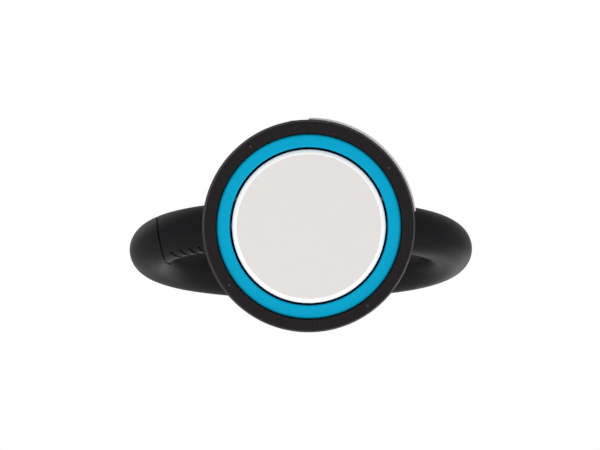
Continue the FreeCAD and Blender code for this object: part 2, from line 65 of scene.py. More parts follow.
REAR_DEG = 90.0
NOISE_SPAN = {1: 0.3, 2: 0.7}  # most of a noise pattern lies between these
SKIN_MM = 0.6  # how deep light goes into pale rubber
Point = Tuple[float, float]
Pattern = Tuple[float, float, float]
Test = Callable[[Vector], bool]
Piece = bpy.types.Object
Tree = bpy.types.NodeTree
Node = bpy.types.Node
Socket = bpy.types.NodeSocket
Material = bpy.types.Material


# ---- colour and nodes

def linear(hex_colour: str) -> Tuple[float, float, float, float]:
    """Turn an sRGB hex colour into the linear values that a shader reads.

    Args:
        hex_colour: six hex digits, with or without a leading hash.

    Returns:
        Red, green, blue and an alpha of one.
    """
    digits = hex_colour.lstrip("#")
    values = []
    for start in (0, 2, 4):
        v = int(digits[start:start + 2], 16) / 255
        values.append(v / 12.92 if v <= 0.04045 else ((v + 0.055) / 1.055) ** 2.4)
    return (values[0], values[1], values[2], 1.0)


def add_node(tree: Tree, kind: str, inputs: Optional[Dict] = None, **settings) -> Node:
    """Add a node with its settings, constants and links.

    Args:
        tree: the material's node tree.
        kind: the node's type name.
        inputs: socket name or number to a value, or to the socket that feeds it.
        **settings: properties set on the node itself.

    Returns:
        The new node.
    """
    node = tree.nodes.new(kind)
    for key, value in settings.items():
        setattr(node, key, value)
    for socket, value in (inputs or {}).items():
        if isinstance(value, Socket):
            tree.links.new(value, node.inputs[socket])
        else:
            node.inputs[socket].default_value = value
    return node


def blank_material(name: str) -> Tuple[Material, Tree, Node]:
    """Make an empty node material.

    Args:
        name: the finish's name.

    Returns:
        The material, its tree and its output node.
    """
    material = bpy.data.materials.new(name)
    material.use_nodes = True
    tree = material.node_tree
    tree.nodes.clear()
    return material, tree, tree.nodes.new("ShaderNodeOutputMaterial")


def object_mm(tree: Tree,
              stretch: Tuple[float, float, float] = (1, 1, 1)) -> Socket:
    """Give the piece's own coordinates in millimetres.

    Args:
        tree: the material's node tree.
        stretch: factor on each axis, for brushed or drawn patterns.

    Returns:
        The socket that holds the coordinates.
    """
    place = add_node(tree, "ShaderNodeTexCoord").outputs["Object"]
    scale = tuple(1000 * s for s in stretch)
    return add_node(tree, "ShaderNodeMapping", {"Vector": place, "Scale": scale}).outputs[0]


# ---- finishes

def let_light_through(tree: Tree, shader: Node, clear: float) -> Node:
    """Keep thin clear plastic from casting a shadow on the card behind it.

    Args:
        tree: the material's node tree.
        shader: the plastic's own shader.
        clear: share of the light that passes.

    Returns:
        The shader for the output.
    """
    rays = add_node(tree, "ShaderNodeLightPath")
    light = add_node(tree, "ShaderNodeMath", {
        0: rays.outputs["Is Shadow Ray"], 1: rays.outputs["Is Diffuse Ray"]},
        operation="MAXIMUM")
    passed = add_node(tree, "ShaderNodeMath", {0: light.outputs[0], 1: clear},
                      operation="MULTIPLY")
    return add_node(tree, "ShaderNodeMixShader", {
        0: passed.outputs[0], 1: shader.outputs[0],
        2: add_node(tree, "ShaderNodeBsdfTransparent").outputs[0]})


@dataclass(frozen=True)
class Surface:
    """What the finishes share: two tones, a relief from fine grain, a varied shine.

    A pattern is its width in millimetres, its detail and its roughness.
    """

    name: str
    colour: str
    tint: str = ""
    roughness: float = 0.5
    grain: Pattern = (0.5, 3.0, 0.5)
    patches: Optional[Pattern] = None
    tone_by_grain: bool = False
    relief_mm: float = 0.004
    relief_strength: float = 1.0
    shinier: float = 0.0
    duller: float = 0.0
    ior: float = 1.5
    specular: float = 0.5
    metallic: float = 0.0
    subsurface: float = 0.0
    clear: float = 0.0
    along: Tuple[float, float, float] = (1, 1, 1)

    def build(self) -> Material:
        """Build the node material.

        Returns:
            The material.
        """
        material, tree, out = blank_material(self.name)
        place = object_mm(tree, self.along)
        patterns = [
            add_node(tree, "ShaderNodeTexNoise", {
                "Vector": place, "Scale": 1 / pattern[0], "Detail": pattern[1],
                "Roughness": pattern[2]}).outputs[0]
            for pattern in (self.grain, self.patches) if pattern]
        fine, broad = patterns[0], patterns[-1]
        relief = add_node(tree, "ShaderNodeBump", {
            "Height": fine, "Distance": self.relief_mm * MM,
            "Strength": self.relief_strength})
        inputs = {"Base Color": linear(self.colour), "Roughness": self.roughness,
                  "Metallic": self.metallic, "IOR": self.ior,
                  "Specular IOR Level": self.specular, "Subsurface Weight": self.subsurface,
                  "Subsurface Scale": SKIN_MM * MM, "Transmission Weight": self.clear,
                  "Normal": relief.outputs[0]}
        if self.tint:
            tone = fine if self.tone_by_grain else broad
            inputs["Base Color"] = add_node(tree, "ShaderNodeMix", {
                0: tone, 6: linear(self.colour), 7: linear(self.tint)},
                data_type="RGBA").outputs[2]
        if self.shinier:
            inputs["Roughness"] = add_node(tree, "ShaderNodeMapRange", {
                0: broad, **NOISE_SPAN, 3: self.roughness - self.shinier,
                4: self.roughness + self.duller}).outputs[0]
        shader = add_node(tree, "ShaderNodeBsdfPrincipled", inputs)
        if self.clear:
            shader = let_light_through(tree, shader, self.clear)
        tree.links.new(shader.outputs[0], out.inputs[0])
        return material


@dataclass(frozen=True)
class MouldedABS(Surface):
    """ABS from a spark-eroded mould: satin, with an even grain and soft highlights.

    Handling leaves broad, faint patches that are a little shinier.
    """

    grain: Pattern = (0.32, 3.0, 0.6)
    patches: Pattern = (11.0, 4.0, 0.55)
    tone_by_grain: bool = True
    shinier: float = 0.05
    duller: float = 0.06
    ior: float = 1.53


@dataclass(frozen=True)
class SoftTouchTPE(Surface):
    """Thermoplastic elastomer overmould: nearly black, dull, with a broad soft sheen."""

    # a soft-touch grain is about 0.1 mm wide, too fine to show, and is drawn coarser
    grain: Pattern = (0.45, 4.0, 0.65)
    patches: Pattern = (16.0, 5.0, 0.6)
    relief_mm: float = 0.008
    shinier: float = 0.04
    duller: float = 0.07


@dataclass(frozen=True)
class StampRubber(Surface):
    """Pale laser-grade stamp rubber: smooth, slightly waxy, with a faint ground texture."""

    roughness: float = 0.42
    # ground rubber has a grit of about 0.1 mm, too fine to show, and is drawn coarser
    grain: Pattern = (0.5, 2.0, 0.5)
    patches: Pattern = (7.0, 5.0, 0.6)
    relief_mm: float = 0.003
    subsurface: float = 0.04


@dataclass(frozen=True)
class DrawnSteel(Surface):
    """Drawn steel: bright, with fine lines along the drawing direction."""

    # drawing lines are about 0.05 mm wide, too fine to show, and are drawn coarser
    grain: Pattern = (0.25, 3.0, 0.5)
    shinier: float = 0.06
    duller: float = 0.08
    metallic: float = 1.0


@dataclass(frozen=True)
class Fibrous(Surface):
    """Fibres or cells, as in card, foam or inked felt: matt, with a mottled surface."""

    roughness: float = 0.9
    # fibres are about 0.03 mm wide, too fine to show, and are drawn coarser
    grain: Pattern = (0.3, 6.0, 0.7)


@dataclass(frozen=True)
class ClearPolycarbonate(Surface):
    """Clear moulded polycarbonate: water-clear with a glossy skin and faint ripple."""

    roughness: float = 0.05
    grain: Pattern = (6.0, 2.0, 0.5)
    relief_mm: float = 0.02
    relief_strength: float = 0.3
    ior: float = 1.585
    clear: float = 0.95


class Finish(Enum):
    """The finishes of the stamp, named for the real materials, except the plate's rim, which is
    a painted highlight.
    """

    # spark grain is 0.1 to 0.3 mm wide, too fine to show on black, where it is drawn coarser
    FOOT_ABS = MouldedABS("black_abs_satin", "#181617", "#302d2e", 0.45, (0.7, 3.0, 0.6),
                          relief_mm=0.03, specular=0.01)
    SHELL_ABS = MouldedABS("black_abs_grained", "#151416", "#292729", 0.46, (0.9, 3.0, 0.6),
                           relief_mm=0.03, specular=0.12)
    BLUE_ABS = MouldedABS("cyan_abs_satin", "#00a3cc", "#00a7cf", 0.36, (0.3, 3.0, 0.6),
                          relief_mm=0.002, specular=0.08)
    GREY_NYLON = MouldedABS("grey_nylon", "#3a3b3e", "#424347", 0.5, (0.5, 3.0, 0.6),
                            relief_mm=0.006)
    RING_PIN = MouldedABS("black_abs_pin_end", "#2c2a2b", "#343233", 0.4, specular=0.25)
    LOOP_TPE = SoftTouchTPE("black_tpe_soft_touch", "#171618", "#1d1c1e", 0.4, specular=0.025)
    PLATE_RUBBER = StampRubber("pale_stamp_rubber", "#e3dfde", "#e6e2e1")
    # the plate's rim is painted plain white: a painted highlight that stands in for the light
    # its rounding catches
    PLATE_RIM = StampRubber("pale_stamp_rubber_painted_highlight_rim", "#ffffff", "#ffffff")
    LEG_STEEL = DrawnSteel("zinc_plated_steel", "#c9ccd0", roughness=0.26, along=(1, 1, 0.05))
    FLAT_STEEL = DrawnSteel("cold_rolled_steel", "#b9bcc0", roughness=0.34, along=(0.05, 1, 1))
    SPRING_STEEL = DrawnSteel("spring_steel_wire", "#a9acb0", roughness=0.3)
    PIN_STEEL = DrawnSteel("turned_pin_steel", "#8f8e90", roughness=0.4)
    CLEAR = ClearPolycarbonate("clear_polycarbonate", "#fbfdfe")
    LIP_CLEAR = ClearPolycarbonate("frosted_polycarbonate", "#fafbfb", roughness=0.35,
                                   clear=0.35)
    CARD = Fibrous("index_card", "#efeee8", "#e6e4dc", grain=(0.6, 6.0, 0.7), relief_mm=0.01)
    FOAM = Fibrous("polyurethane_foam", "#55565a", "#3f4043", grain=(0.35, 6.0, 0.7),
                   relief_mm=0.08)
    FELT = Fibrous("inked_felt", "#161a33", "#0d1024", 0.6, relief_mm=0.05)

    def material(self) -> Material:
        """Give the finish's material, built the first time it is asked for."""
        found = bpy.data.materials.get(self.value.name)
        return found if found else self.value.build()


# ---- modelling by operators

def clear_selection() -> None:
    """Leave edit mode and deselect everything."""
    if bpy.context.object and bpy.context.object.mode == "EDIT":
        bpy.ops.object.mode_set(mode="OBJECT")
    bpy.ops.object.select_all(action="DESELECT")


def activate(obj: Piece) -> None:
    """Select one object alone and make it the active one.

    Args:
        obj: the object.
    """
    clear_selection()
    obj.select_set(True)
    bpy.context.view_layer.objects.active = obj


def begin(name: str) -> Piece:
    """Name the primitive that was just added and open it in edit mode.

    Args:
        name: the piece's name.

    Returns:
        The object.
    """
    obj = bpy.context.object
    obj.name = name
    obj.data.name = name
    bpy.ops.object.mode_set(mode="EDIT")
    bpy.ops.mesh.select_mode(type="VERT")
    return obj


def pick(obj: Piece, test: Test, kind: str = "VERT") -> None:
    """Select what passes a test of its middle, in edit mode.

    Args:
        obj: the object in edit mode.
        test: says whether a vertex or a face's middle is taken.
        kind: VERT or FACE.
    """
    bpy.ops.mesh.select_mode(type=kind)
    bpy.ops.mesh.select_all(action="DESELECT")
    mesh = bmesh.from_edit_mesh(obj.data)
    if kind == "VERT":
        for vert in mesh.verts:
            vert.select = test(vert.co)
    else:
        for face in mesh.faces:
            face.select = test(face.calc_center_median())
    mesh.select_flush_mode()
    bmesh.update_edit_mesh(obj.data)


def smooth(obj: Piece, angle_deg: float = SMOOTH_DEG, weighted: bool = True) -> None:
    """Smooth the active object by angle.

    Args:
        obj: the active object, in object mode.
        angle_deg: edges sharper than this stay sharp.
        weighted: let large flat faces keep their own normal.
    """
    bpy.ops.object.shade_smooth_by_angle(angle=math.radians(angle_deg))
    if weighted:
        fix = obj.modifiers.new("flat faces", "WEIGHTED_NORMAL")
        fix.keep_sharp = True
        bpy.ops.object.modifier_apply(modifier=fix.name)


def close_piece(obj: Piece, smooth_deg: float = SMOOTH_DEG, weighted: bool = True) -> Piece:
    """Merge doubles, turn faces outwards, smooth by angle and fix the place in the mesh.

    Args:
        obj: the object, in edit or object mode.
        smooth_deg: edges sharper than this stay sharp.
        weighted: let large flat faces keep their own normal.

    Returns:
        The same object.
    """
    if obj.mode != "EDIT":
        bpy.ops.object.mode_set(mode="EDIT")
    bpy.ops.mesh.select_mode(type="VERT")
    bpy.ops.mesh.select_all(action="SELECT")
    bpy.ops.mesh.remove_doubles(threshold=SAME)
    bpy.ops.mesh.normals_make_consistent(inside=False)
    bpy.ops.object.mode_set(mode="OBJECT")
    bpy.ops.object.transform_apply()
    smooth(obj, smooth_deg, weighted)
    return obj


def lathe(name: str, outline: Sequence[Point], rounds: Optional[Dict[int, float]] = None,
          closed: bool = True, steps: int = 256, start_deg: float = 0.0,
          sweep_deg: float = 360.0, segments: int = 4) -> Piece:
    """Turn an outline about Z, as on a lathe.

    Args:
        name: the piece's name.
        outline: (radius, height) points in millimetres, in order.
        rounds: point number to the radius that it is rounded with.
        closed: whether the last point joins the first.
        steps: divisions of the sweep.
        start_deg: where the sweep starts, anticlockwise from +X.
        sweep_deg: how far it turns.
        segments: divisions of each round.

    Returns:
        The finished object.
    """
    clear_selection()
    bpy.ops.mesh.primitive_plane_add(size=MM)
    obj = begin(name)
    bpy.ops.mesh.select_all(action="SELECT")
    bpy.ops.mesh.merge(type="CENTER")
    spots = [Vector((r * MM, 0, z * MM)) for r, z in outline]
    bpy.ops.transform.translate(value=spots[0])
    for before, after in zip(spots, spots[1:]):
        bpy.ops.mesh.extrude_region_move(TRANSFORM_OT_translate={"value": after - before})
    if closed:
        ends = (spots[0], spots[-1])
        pick(obj, lambda co: min((co - e).length for e in ends) < SAME)
        bpy.ops.mesh.edge_face_add()
    for number, radius in (rounds or {}).items():
        spot = spots[number]
        pick(obj, lambda co: (co - spot).length < SAME)
        bpy.ops.mesh.bevel(offset=radius * MM, offset_type="OFFSET", segments=segments,
                           affect="VERTICES", clamp_overlap=True)
    bpy.ops.mesh.select_all(action="SELECT")
    if sweep_deg < 360:
        bpy.ops.mesh.edge_face_add()
        bpy.ops.mesh.select_all(action="SELECT")
    bpy.ops.mesh.spin(steps=steps, angle=-math.radians(sweep_deg), center=(0, 0, 0),
                      axis=(0, 0, 1))
    if start_deg:
        turn = Matrix.Rotation(math.radians(start_deg), 4, "Z")
        bpy.ops.object.mode_set(mode="OBJECT")
        obj.data.transform(turn)
    return close_piece(obj)


def hoop(name: str, radii: Point, heights: Point, middle: float = 0.0, half: float = 180.0,
         edge: float = 0.0, **options) -> Piece:
    """Lathe a square section into a ring, a disc or a slice of one.

    Args:
        name: the piece's name.
        radii: inner and outer radius in millimetres, where an inner one of 0 makes a disc.
        heights: lower and upper height.
        middle: direction of a slice's middle in degrees.
        half: half of the slice's angle.
        edge: radius of both outer edges.
        **options: the lathe's rounds, steps and segments.

    Returns:
        The finished object.
    """
    (inner, outer), (low, high) = radii, heights
    outline = [(inner, low), (outer, low), (outer, high), (inner, high)]
    if edge:
        options["rounds"] = {1: edge, 2: edge}
    if half < 180:
        return lathe(name, outline, start_deg=middle - half, sweep_deg=2 * half, **options)
    return lathe(name, outline, closed=inner > 0, **options)


def rod(name: str, spot: Point, radius: float, heights: Point) -> Piece:
    """Stand a round pin up, and leave it open in edit mode.

    Args:
        name: the pin's name.
        spot: its axis in millimetres.
        radius: its radius.
        heights: lower and upper height.

    Returns:
        The pin.
    """
    low, high = heights
    clear_selection()
    bpy.ops.mesh.primitive_cylinder_add(
        vertices=32, radius=radius * MM, depth=(high - low) * MM,
        location=(spot[0] * MM, spot[1] * MM, (high + low) / 2 * MM))
    bpy.ops.object.transform_apply()
    return begin(name)


def cut(obj: Piece, tools: List[Piece], weighted: bool = True,
        operation: str = "DIFFERENCE") -> Piece:
    """Cut tool solids out of a piece, or join or intersect them, and remove the tools.

    Args:
        obj: the piece.
        tools: closed meshes.
        weighted: keep flat faces flat afterwards.
        operation: DIFFERENCE, UNION or INTERSECT.

    Returns:
        The same object.
    """
    for tool in tools:
        activate(obj)
        change = obj.modifiers.new("cut", "BOOLEAN")
        change.operation = operation
        change.solver = "EXACT"
        change.object = tool
        bpy.ops.object.modifier_apply(modifier=change.name)
        bpy.data.objects.remove(tool, do_unlink=True)
    smooth(obj, weighted=weighted)
    return obj


def soften(obj: Piece, width: float) -> Piece:
    """Round the sharp edges that are left after cutting.

    Args:
        obj: the piece.
        width: width of the rounding in millimetres.

    Returns:
        The same object.
    """
    activate(obj)
    edge = obj.modifiers.new("soften", "BEVEL")
    edge.width = width * MM
    edge.segments = 2
    edge.limit_method = "ANGLE"
    edge.angle_limit = math.radians(SOFTEN_DEG)
    edge.miter_outer = "MITER_ARC"
    bpy.ops.object.modifier_apply(modifier=edge.name)
    smooth(obj)
    return obj


def coil(name: str, radius: float, wire: float, length: float, turns: int,
         flat: float = 1.0) -> Piece:
    """Wind a closed round wire into a coil that stands on the origin, along +Z.

    Args:
        name: its name.
        radius: the coil's middle radius in millimetres.
        wire: the wire's radius.
        length: the coil's height, its wire included.
        turns: how many turns it has.
        flat: the wire's height as a share of its width.

    Returns:
        The coil.
    """
    clear_selection()
    bpy.ops.mesh.primitive_circle_add(
        vertices=WIRE_SIDES, radius=wire * MM, location=(radius * MM, 0, wire * MM),
        rotation=(math.pi / 2, 0, 0))
    bpy.context.object.scale = (1, flat, 1)
    bpy.ops.object.transform_apply()
    obj = begin(name)
    bpy.ops.object.mode_set(mode="OBJECT")
    wind = obj.modifiers.new("wind", "SCREW")
    wind.angle = math.tau * turns
    wind.screw_offset = (length - 2 * wire) * MM
    wind.steps = wind.render_steps = TURN_STEPS * turns
    wind.axis = "Z"
    bpy.ops.object.modifier_apply(modifier=wind.name)
    bpy.ops.object.mode_set(mode="EDIT")
    bpy.ops.mesh.select_all(action="SELECT")
    bpy.ops.mesh.region_to_loop()
    bpy.ops.mesh.fill_holes(sides=0)
    return close_piece(obj, smooth_deg=50.0, weighted=False)


def block(name: str, low: Sequence[float], high: Sequence[float],
          edge: float = 0.0) -> Piece:
    """Make a box between two corners, in millimetres, with rounded edges.

    Args:
        name: the piece's name.
        low: lowest corner.
        high: highest corner.
        edge: radius of its edges.

    Returns:
        The finished object.
    """
    clear_selection()
    middle = [(a + b) / 2 * MM for a, b in zip(low, high)]
    bpy.ops.mesh.primitive_cube_add(size=1, location=middle)
    bpy.context.object.scale = [(b - a) * MM for a, b in zip(low, high)]
    bpy.ops.object.transform_apply()
    obj = begin(name)
    if edge:
        bpy.ops.mesh.select_all(action="SELECT")
        bpy.ops.mesh.bevel(offset=edge * MM, segments=3, affect="EDGES")
    return close_piece(obj)


def dress(obj: Piece, finish: Finish, body: Optional[str],
          nodes: Sequence[str] = ()) -> Piece:
    """Give a piece its finish and its body, and the CAD nodes that it stands for.

    Args:
        obj: the piece.
        finish: its material.
        body: the body that it moves with, or None where it is blended between two.
        nodes: CAD nodes that it replaces.

    Returns:
        The same object.
    """
    obj.data.materials.clear()
    obj.data.materials.append(finish.material())
    if body:
        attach(obj, body)
    if nodes:
        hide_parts(*nodes)
    LOG.info("%s: %d faces, rides on %s", obj.name, len(obj.data.polygons), body or "two")
    return obj


def box_mm(node: str) -> Tuple[Vector, Vector]:
    """Give a CAD node's lowest and highest corner in millimetres."""
    low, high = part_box(node)
    return Vector(low) * 1000, Vector(high) * 1000


def dress_node(node: str, finish: Finish) -> None:
    """Give a CAD node that stays its material.

    Args:
        node: the CAD node's name.
        finish: its material.
    """
    obj = bpy.data.objects[node]
    obj.data.materials.clear()
    obj.data.materials.append(finish.material())
    LOG.info("%s: CAD shape kept, %s", node, finish.value.name)


# ---- sub-assemblies

@dataclass
class Foot:
    """The foot ring with its assembly pins, the coloured mouth ring and the sight lip."""

    face_width: float = 3.25
    flare_height: float = 3.3
    wall: float = 1.6
    shelf_z: float = 2.4
    shelf_thick: float = 1.2
    shelf_reach: float = 3.48
    seat_seam: float = 0.17
    inner_round: float = 0.18
    face_round: float = 0.45
    flare_round: float = 1.2
    top_round: float = 0.4
    mouth_width: float = 3.75
    mouth_round: float = 0.85
    bore_break: float = 0.3
    bore_draft: float = 0.22
    bore_draft_depth: float = 1.4
    pins: int = 4
    pin_turn: float = 36.3
    pin_radius: float = 0.55
    pin_gap: float = 0.02
    pin_hole_depth: float = 1.6
    pin_chamfer: float = 0.12
    dish_inset: float = 0.14
    dish_depth: float = 0.05
    lip_offset: float = 0.75
    lip_aim: float = 131.0
    lip_half: float = 41.0
    lip_seat: float = 0.02
    lip_round: float = 0.15

    def build(self) -> None:
        """Build and dress the foot's pieces."""
        self._ring()
        self._mouth()
        self._lip()

    def _ring(self) -> None:
        """Foot ring: flat face, flared flank and inner shelf, with its pin holes."""
        high = box_mm("foot_ring")[1]
        seat = box_mm("mouth_ring")[1].x
        inner = seat + self.seat_seam
        face_out = inner + self.face_width
        housing_in = box_mm("housing_shell")[1].x - self.wall
        shelf_in = seat - self.shelf_reach
        shelf_top = self.shelf_z + self.shelf_thick
        outline = [
            (inner, 0), (face_out, 0), (high.x, self.flare_height), (high.x, high.z),
            (housing_in, high.z), (housing_in, shelf_top), (shelf_in, shelf_top),
            (shelf_in, self.shelf_z), (inner, self.shelf_z)]
        rounds = {3: self.top_round, 2: self.flare_round, 1: self.face_round,
                  0: self.inner_round}
        ring = lathe("foot_ring_moulding", outline, rounds)
        holes = []
        reach = (inner + face_out) / 2
        for number in range(self.pins):
            turn = math.radians(180 - self.pin_turn + 360 / self.pins * number)
            spot = (reach * math.cos(turn), reach * math.sin(turn))
            holes.append(rod("pin_hole", spot, self.pin_radius + self.pin_gap,
                             (-self.pin_hole_depth, self.pin_hole_depth)))
            self._pin(number + 1, spot)
        cut(ring, holes)
        dress(ring, Finish.FOOT_ABS, "base", ["foot_ring"])

    def _pin(self, number: int, spot: Point) -> None:
        """Turned assembly pin with a chamfered, slightly dished end.

        Args:
            number: its number, from 1.
            spot: its axis in millimetres.
        """
        low, high = box_mm("ring_pin_%d" % number)
        pin = rod("assembly_pin_%d" % number, spot, self.pin_radius, (low.z, high.z))
        pick(pin, lambda co: abs(co.z - low.z * MM) < SAME, "FACE")
        bpy.ops.mesh.bevel(offset=self.pin_chamfer * MM, segments=2, affect="EDGES")
        pick(pin, lambda co: abs(co.z - low.z * MM) < SAME, "FACE")
        bpy.ops.mesh.inset(thickness=self.dish_inset * MM)
        bpy.ops.transform.translate(value=(0, 0, self.dish_depth * MM))
        close_piece(pin)
        dress(pin, Finish.RING_PIN, "base", ["ring_pin_%d" % number])

    def _mouth(self) -> None:
        """Coloured ring: flat face, well rounded outer edge, bore with a slight draft."""
        low, high = box_mm("mouth_ring")
        bore = high.x - self.mouth_width
        throat = bore - self.bore_draft
        outline = [(bore, low.z), (high.x, low.z), (high.x, high.z), (throat, high.z),
                   (throat, low.z + self.bore_draft_depth)]
        ring = lathe("mouth_ring_moulding", outline, {1: self.mouth_round, 0: self.bore_break},
                     segments=6)
        dress(ring, Finish.BLUE_ABS, "base", ["mouth_ring"])

    def _lip(self) -> None:
        """Frosted sight lip: a crescent on the flank, thickest in its middle."""
        low, high = box_mm("sight_lip")
        root = box_mm("foot_ring")[1].x
        lip = hoop("sight_lip_moulding", (0, root), (low.z, high.z), steps=360)
        aim = math.radians(self.lip_aim)
        shift = Vector((math.cos(aim), math.sin(aim), 0)) * self.lip_offset * MM
        lip.data.transform(Matrix.Translation(shift))
        heights = (low.z - PAST, high.z + PAST)
        reach = hoop("lip_reach", (0, root + PAST), heights, self.lip_aim, self.lip_half,
                     steps=48)
        cut(lip, [reach], operation="INTERSECT")
        cut(lip, [hoop("flank", (0, root - self.lip_seat), heights, steps=360)])
        soften(lip, self.lip_round)
        dress(lip, Finish.LIP_CLEAR, "base", ["sight_lip"])


@dataclass
class TextPlate:
    """The blank text plate on its foam and carrier; it turns over on two trunnions."""

    rim_round: float = 1.4
    foam_round: float = 0.15

    def build(self) -> None:
        """Build and dress the turning plate."""
        low, high = box_mm("text_plate")
        plate = hoop("text_plate_blank", (0, high.x), (low.z, high.z),
                     rounds={1: self.rim_round}, segments=8)
        dress(plate, Finish.PLATE_RUBBER, "plate", ["text_plate"])
        self._rim(plate, high.x)
        low, high = box_mm("plate_cushion")
        cushion = hoop("plate_foam", (0, high.x), (low.z, high.z), edge=self.foam_round,
                       steps=128)
        dress(cushion, Finish.FOAM, "plate", ["plate_cushion"])
        dress_node("plate_carrier", Finish.GREY_NYLON)
        for side in ("left", "right"):
            dress_node("trunnion_pin_" + side, Finish.PIN_STEEL)
            dress_node("cam_pin_" + side, Finish.PIN_STEEL)

    def _rim(self, plate: Piece, radius: float) -> None:
        """Paint the rim whiter than the printing face, as a painted highlight along the rounded
        edge.

        Args:
            plate: the dressed plate.
            radius: its radius in millimetres.
        """
        activate(plate)
        plate.data.materials.append(Finish.PLATE_RIM.material())
        bpy.ops.object.mode_set(mode="EDIT")
        inner = (radius - self.rim_round) * MM
        pick(plate, lambda co: co.xy.length > inner, "FACE")
        # the rim's faces take the white of the painted highlight
        plate.active_material_index = 1
        bpy.ops.object.material_slot_assign()
        bpy.ops.object.mode_set(mode="OBJECT")


@dataclass
class Housing:
    """Outer shell, roof, cam walls, index card and its window, and the return spring."""

    wall: float = 1.6
    edge_round: float = 0.25
    drawer_gap: float = 0.3
    window_half_deg: float = 34.0
    pocket_depth: float = 0.8
    card_thick: float = 0.3
    pane_round: float = 0.3
    vents: int = 5
    vent_start: float = 4.0
    vent_pitch: float = 3.2
    vent_height: float = 1.2
    vent_depth: float = 0.5
    vent_half_deg: float = 40.0
    coil_radius: float = 6.2
    wire_radius: float = 0.45
    coil_turns: int = 6
    stroke: float = 36.0

    def build(self) -> None:
        """Build and dress the housing."""
        self._shell()
        self._window()
        dress_node("roof_cover", Finish.SHELL_ABS)
        for side in ("left", "right"):
            dress_node("cam_wall_" + side, Finish.GREY_NYLON)
        self._spring()

    def _shell(self) -> None:
        """Shell with the drawer mouth, the card pocket and rear vent grooves."""
        low, high = box_mm("housing_shell")
        shell = hoop("housing_moulding", (high.x - self.wall, high.x), (low.z, high.z),
                     edge=self.edge_round)
        tray_low, tray_high = box_mm("pad_tray")
        card_low, card_high = box_mm("index_card")
        half_mouth = tray_high.x + self.drawer_gap
        tools = [block("drawer_mouth",
                       (-half_mouth, -high.x - PAST, tray_low.z - self.drawer_gap),
                       (half_mouth, 0, high.z + PAST)),
                 hoop("card_pocket", (high.x - self.pocket_depth, high.x + PAST),
                      (card_low.z, card_high.z), FRONT_DEG, self.window_half_deg, steps=48)]
        for row in range(self.vents):
            z = low.z + self.vent_start + self.vent_pitch * row
            tools.append(hoop("vent", (high.x - self.vent_depth, high.x + PAST),
                              (z, z + self.vent_height), REAR_DEG, self.vent_half_deg,
                              steps=48))
        cut(shell, tools)
        dress(shell, Finish.SHELL_ABS, "base", ["housing_shell"])

    def _window(self) -> None:
        """Index card under its clear curved window."""
        low, high = box_mm("index_card")
        heights = (low.z, high.z)
        inner = -low.y
        outer = -box_mm("index_window")[0].y
        card = hoop("index_card_sheet", (inner - self.card_thick, inner), heights, FRONT_DEG,
                    self.window_half_deg, steps=64)
        dress(card, Finish.CARD, "base", ["index_card"])
        window = hoop("index_window_pane", (inner, outer), heights, FRONT_DEG,
                      self.window_half_deg, self.pane_round, steps=64)
        dress(window, Finish.CLEAR, "base", ["index_window"])

    def _spring(self) -> None:
        """Return spring between the roof and the yoke; it stretches as the handle rises.

        Its wire is drawn flat while the spring is shut away, and is round once stretched.
        """
        low, high = box_mm("return_spring")
        length = high.z - low.z
        spring = coil("return_spring_coil", self.coil_radius, self.wire_radius, length,
                      self.coil_turns, length / (length + self.stroke))
        spring.data.transform(Matrix.Translation((0, 0, low.z * MM)))
        dress(spring, Finish.SPRING_STEEL, None, ["return_spring"])
        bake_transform(spring)


@dataclass
class PadDrawer:
    """Ink pad in its tray, with the coloured tab that pulls it out."""

    felt_round: float = 0.6

    def build(self) -> None:
        """Build the pad and dress the drawer."""
        dress_node("pad_tray", Finish.SHELL_ABS)
        dress_node("pad_tab", Finish.BLUE_ABS)
        low, high = box_mm("ink_pad")
        pad = hoop("ink_pad_felt", (0, high.x), (low.z, high.z), rounds={1: self.felt_round},
                   steps=128)
        dress(pad, Finish.FELT, "pad_drawer", ["ink_pad"])


